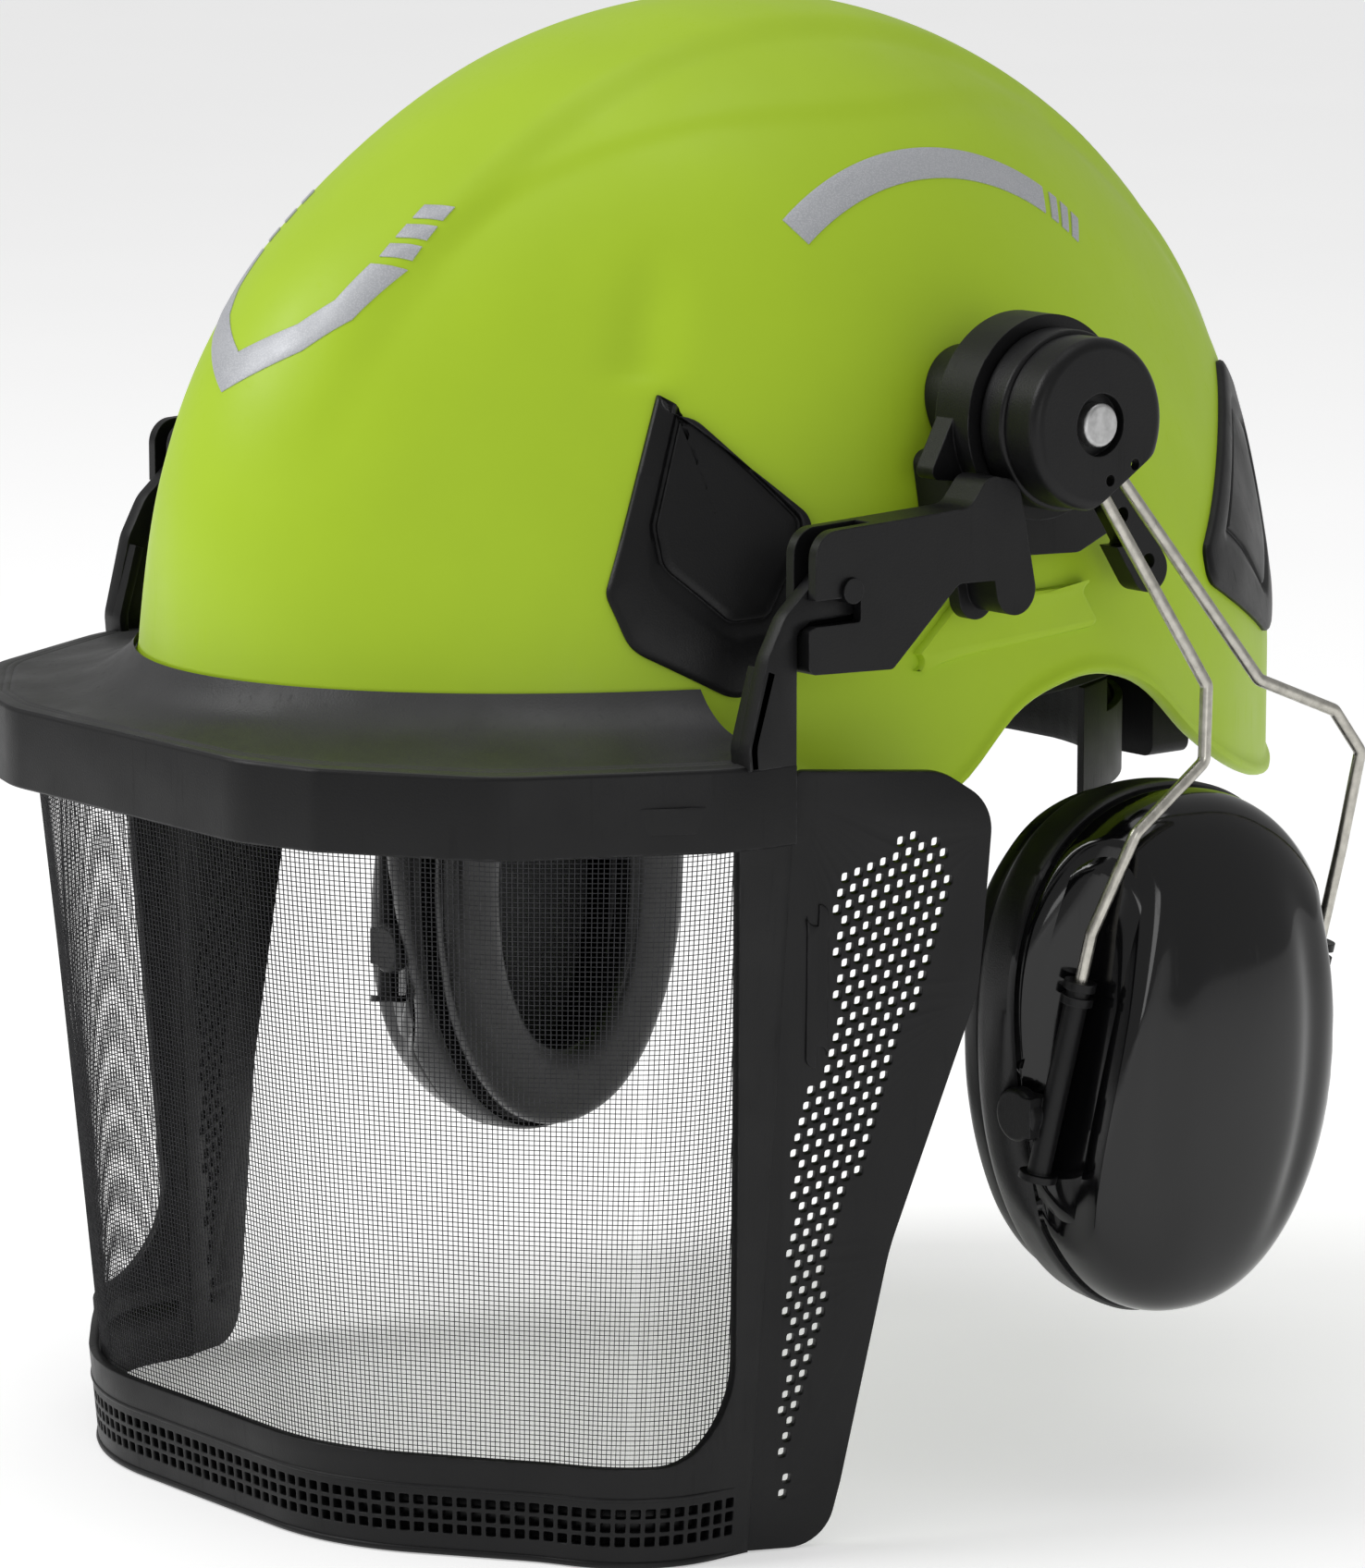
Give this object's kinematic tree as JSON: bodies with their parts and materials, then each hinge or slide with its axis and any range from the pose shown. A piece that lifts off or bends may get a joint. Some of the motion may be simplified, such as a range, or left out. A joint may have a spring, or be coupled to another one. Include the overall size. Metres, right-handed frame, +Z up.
{
  "type": "forestry helmet",
  "caption": "Forestry safety helmet: vented shell with harness, flip-up mesh visor with brim, and two ear muffs that fold, slide and swing on bent wires.",
  "frame": {"origin": "middle of the wearer's head, on the line through the two ear-muff hubs", "axes": "+Z up, the wearer looks along -Y, +X is the wearer's left"},
  "size_m": [0.3012, 0.3207, 0.3358],
  "materials": {
    "shell_plastic": "moulded lime plastic, soft satin",
    "black_plastic": "fine-grained moulded black",
    "brim_plastic": "satin dark grey black",
    "gloss_black": "polished black",
    "steel_wire": "drawn spring steel",
    "rivet_metal": "cast, dull zinc",
    "reflective_film": "retroreflective film",
    "webbing": "woven webbing",
    "soft_pad": "brushed foam-backed cloth",
    "cushion_skin": "soft smooth vinyl skin",
    "foam": "open-cell foam",
    "harness_plastic": "moulded black",
    "mesh_metal": "black coated woven wire"
  },
  "bodies": {
    "helmet": {"shell": "shell_plastic", "headband": "harness_plastic", "sweatband": "soft_pad", "crown_straps": "webbing", "hanger_clips": "harness_plastic", "front_reflective_chevron": "reflective_film", "front_vent_cover_left": "black_plastic", "rear_vent_cover_left": "black_plastic", "side_reflective_arc_left": "reflective_film", "muff_bracket_left": "black_plastic", "visor_arm_left": "black_plastic", "hub_rivet_left": "rivet_metal", "front_vent_cover_right": "black_plastic", "rear_vent_cover_right": "black_plastic", "side_reflective_arc_right": "reflective_film", "muff_bracket_right": "black_plastic", "visor_arm_right": "black_plastic", "hub_rivet_right": "rivet_metal"},
    "nape_unit": {"nape_cradle": "harness_plastic", "nape_pad": "soft_pad", "ratchet_housing": "harness_plastic"},
    "nape_knob": {"ratchet_knob": "harness_plastic", "ratchet_pinion": "harness_plastic"},
    "visor": {"brim": "brim_plastic", "visor_frame": "black_plastic", "visor_mesh": "mesh_metal", "hinge_stud_left": "black_plastic", "hinge_stud_right": "black_plastic"},
    "muff_hub_left": {"hub_ring_left": "black_plastic", "hub_cap_left": "black_plastic"},
    "muff_wires_left": {"muff_wire_left": "steel_wire"},
    "cup_sleeves_left": {"front_sleeve_left": "black_plastic", "rear_sleeve_left": "black_plastic"},
    "ear_cup_left": {"cup_shell_left": "gloss_black", "cup_back_left": "gloss_black", "ear_cushion_left": "cushion_skin", "cup_foam_left": "foam"},
    "muff_hub_right": {"hub_ring_right": "black_plastic", "hub_cap_right": "black_plastic"},
    "muff_wires_right": {"muff_wire_right": "steel_wire"},
    "cup_sleeves_right": {"front_sleeve_right": "black_plastic", "rear_sleeve_right": "black_plastic"},
    "ear_cup_right": {"cup_shell_right": "gloss_black", "cup_back_right": "gloss_black", "ear_cushion_right": "cushion_skin", "cup_foam_right": "foam"}
  },
  "joints": [
    {"name": "visor_tilt", "type": "hinge", "parent": "helmet", "child": "visor", "pos_m": [0, -0.065, -0.0316], "axis": [-1, 0, 0], "range_deg": [0, 75]},
    {"name": "nape_slide", "type": "slide", "parent": "helmet", "child": "nape_unit", "axis": [0, 1, 0], "range_m": [-0.012, 0.003]},
    {"name": "knob_spin", "type": "hinge", "parent": "nape_unit", "child": "nape_knob", "pos_m": [0, 0.12, -0.088], "axis": [0, 1, 0], "range_deg": [-360, 90]},
    {"name": "muff_swing_left", "type": "hinge", "parent": "helmet", "child": "muff_hub_left", "pos_m": [0.12, 0, 0], "axis": [1, 0, 0], "range_deg": [-2, 95]},
    {"name": "arm_fold_left", "type": "hinge", "parent": "muff_hub_left", "child": "muff_wires_left", "pos_m": [0.129, 0.0075, -0.0076], "axis": [0, 1, 0], "range_deg": [0, 9]},
    {"name": "cup_height_left", "type": "slide", "parent": "muff_wires_left", "child": "cup_sleeves_left", "axis": [-0.1567, -0.1273, -0.9794], "range_m": [-0.002, 0.016]},
    {"name": "cup_tilt_left", "type": "hinge", "parent": "cup_sleeves_left", "child": "ear_cup_left", "pos_m": [0.119, 0.032, -0.157], "axis": [0, 1, 0], "range_deg": [-3, 3]},
    {"name": "muff_swing_right", "type": "hinge", "parent": "helmet", "child": "muff_hub_right", "pos_m": [-0.12, 0, 0], "axis": [1, 0, 0], "range_deg": [-2, 95]},
    {"name": "arm_fold_right", "type": "hinge", "parent": "muff_hub_right", "child": "muff_wires_right", "pos_m": [-0.129, 0.0075, -0.0076], "axis": [0, -1, 0], "range_deg": [0, 9]},
    {"name": "cup_height_right", "type": "slide", "parent": "muff_wires_right", "child": "cup_sleeves_right", "axis": [0.1567, -0.1273, -0.9794], "range_m": [-0.002, 0.016]},
    {"name": "cup_tilt_right", "type": "hinge", "parent": "cup_sleeves_right", "child": "ear_cup_right", "pos_m": [-0.119, 0.032, -0.157], "axis": [0, -1, 0], "range_deg": [-3, 3]}
  ],
  "couplings": [
    {"joint": "knob_spin", "follows": "nape_slide", "rad_per_m": 523.6}
  ]
}
